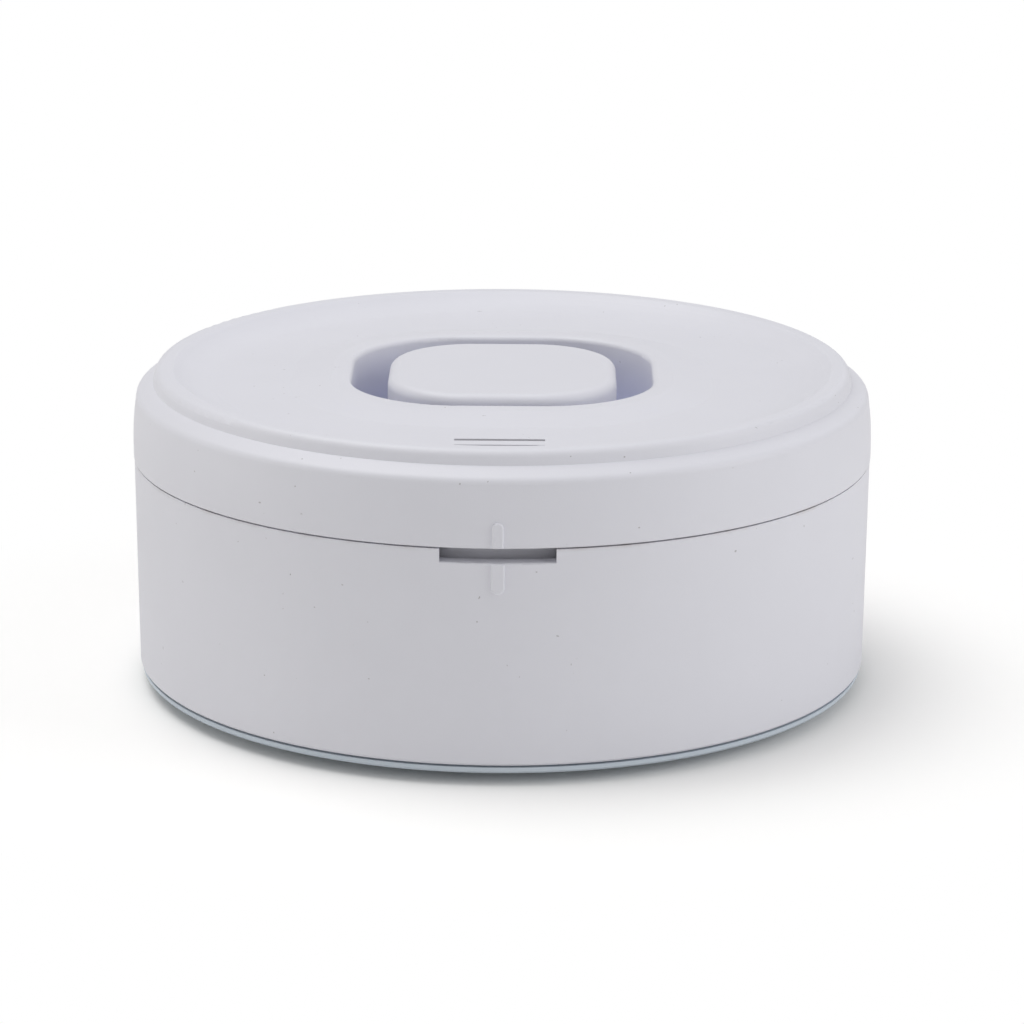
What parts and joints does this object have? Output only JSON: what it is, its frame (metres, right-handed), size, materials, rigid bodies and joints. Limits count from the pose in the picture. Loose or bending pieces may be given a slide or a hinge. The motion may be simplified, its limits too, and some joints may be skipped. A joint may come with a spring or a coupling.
{
  "type": "smoke alarm",
  "caption": "Round ceiling smoke alarm with a twist-off cover, a square test button standing in a smoke inlet well, a seam slot and a ceiling bracket.",
  "frame": {"origin": "centre of the bracket's flat ceiling face, at the foot of the alarm as it lies", "axes": "+Z along the turning axis, from the ceiling face into the room; -Y towards the seam slot and alignment ribs"},
  "size_m": [0.11, 0.1103, 0.0458],
  "materials": {
    "housing_plastic": "fine moulded grain",
    "cover_plastic": "fine moulded grain",
    "button_plastic": "fine moulded grain",
    "bracket_plastic": "plain moulded",
    "smoked_lens": "dark tinted window",
    "clear_plastic": "clear moulded acrylic",
    "lamp_body": "moulded lamp body",
    "board_laminate": "green solder mask over glass laminate",
    "steel": "plated steel",
    "black_plastic": "black moulded",
    "switch_plastic": "black moulded",
    "infrared_epoxy": "dark infrared-pass epoxy",
    "sounder_plastic": "natural moulded",
    "brass": "rolled sheet",
    "piezo": "silvered ceramic",
    "cell_jacket": "printed sleeve left plain",
    "chip_moulding": "moulded chip body",
    "coil_ferrite": "dark ferrite",
    "capacitor_can": "sleeved aluminium can",
    "chip_ceramic": "fired ceramic"
  },
  "bodies": {
    "bracket": {"mounting_plate": "bracket_plastic"},
    "housing": {"lower_housing": "housing_plastic", "light_pipe": "clear_plastic", "status_led": "lamp_body", "main_board": "board_laminate", "board_screws": "steel", "test_switch": "switch_plastic", "chamber_base": "black_plastic", "insect_screen": "steel", "chamber_cap": "black_plastic", "infrared_emitter": "infrared_epoxy", "light_receiver": "infrared_epoxy", "receiver_shield": "steel", "sounder_horn": "sounder_plastic", "sounder_clamp": "sounder_plastic", "piezo_plate": "brass", "piezo_ceramic": "piezo", "sounder_contacts": "steel", "battery_holder": "black_plastic", "lithium_cell": "cell_jacket", "positive_contact": "steel", "negative_contact": "steel", "controller_chip": "chip_moulding", "boost_coil": "coil_ferrite", "electrolytic_capacitors": "capacitor_can", "chip_resistors": "chip_moulding", "chip_capacitors": "chip_ceramic"},
    "cover": {"upper_cover": "cover_plastic", "status_lens": "smoked_lens", "button_spring": "steel"},
    "button": {"test_button": "button_plastic", "button_retainer": "steel"},
    "plunger": {"switch_plunger": "sounder_plastic"}
  },
  "joints": [
    {"name": "bracket_twist", "type": "hinge", "parent": "bracket", "child": "housing", "pos_m": [0, 0, 0], "axis": [0, 0, 1], "range_deg": [0, 18]},
    {"name": "cover_twist", "type": "hinge", "parent": "housing", "child": "cover", "pos_m": [0, 0, 0.0325], "axis": [0, 0, 1], "range_deg": [0, 15]},
    {"name": "button_press", "type": "slide", "parent": "cover", "child": "button", "axis": [0, 0, -1], "range_m": [0, 0.001], "stiffness_N_per_m": 600, "springref_m": -0.0005, "deforming": ["button_spring"]},
    {"name": "switch_press", "type": "slide", "parent": "housing", "child": "plunger", "axis": [0, 0, -1], "range_m": [0, 0.0005]}
  ],
  "couplings": [
    {"joint": "switch_press", "follows": "button_press", "ratio": 0.5}
  ]
}
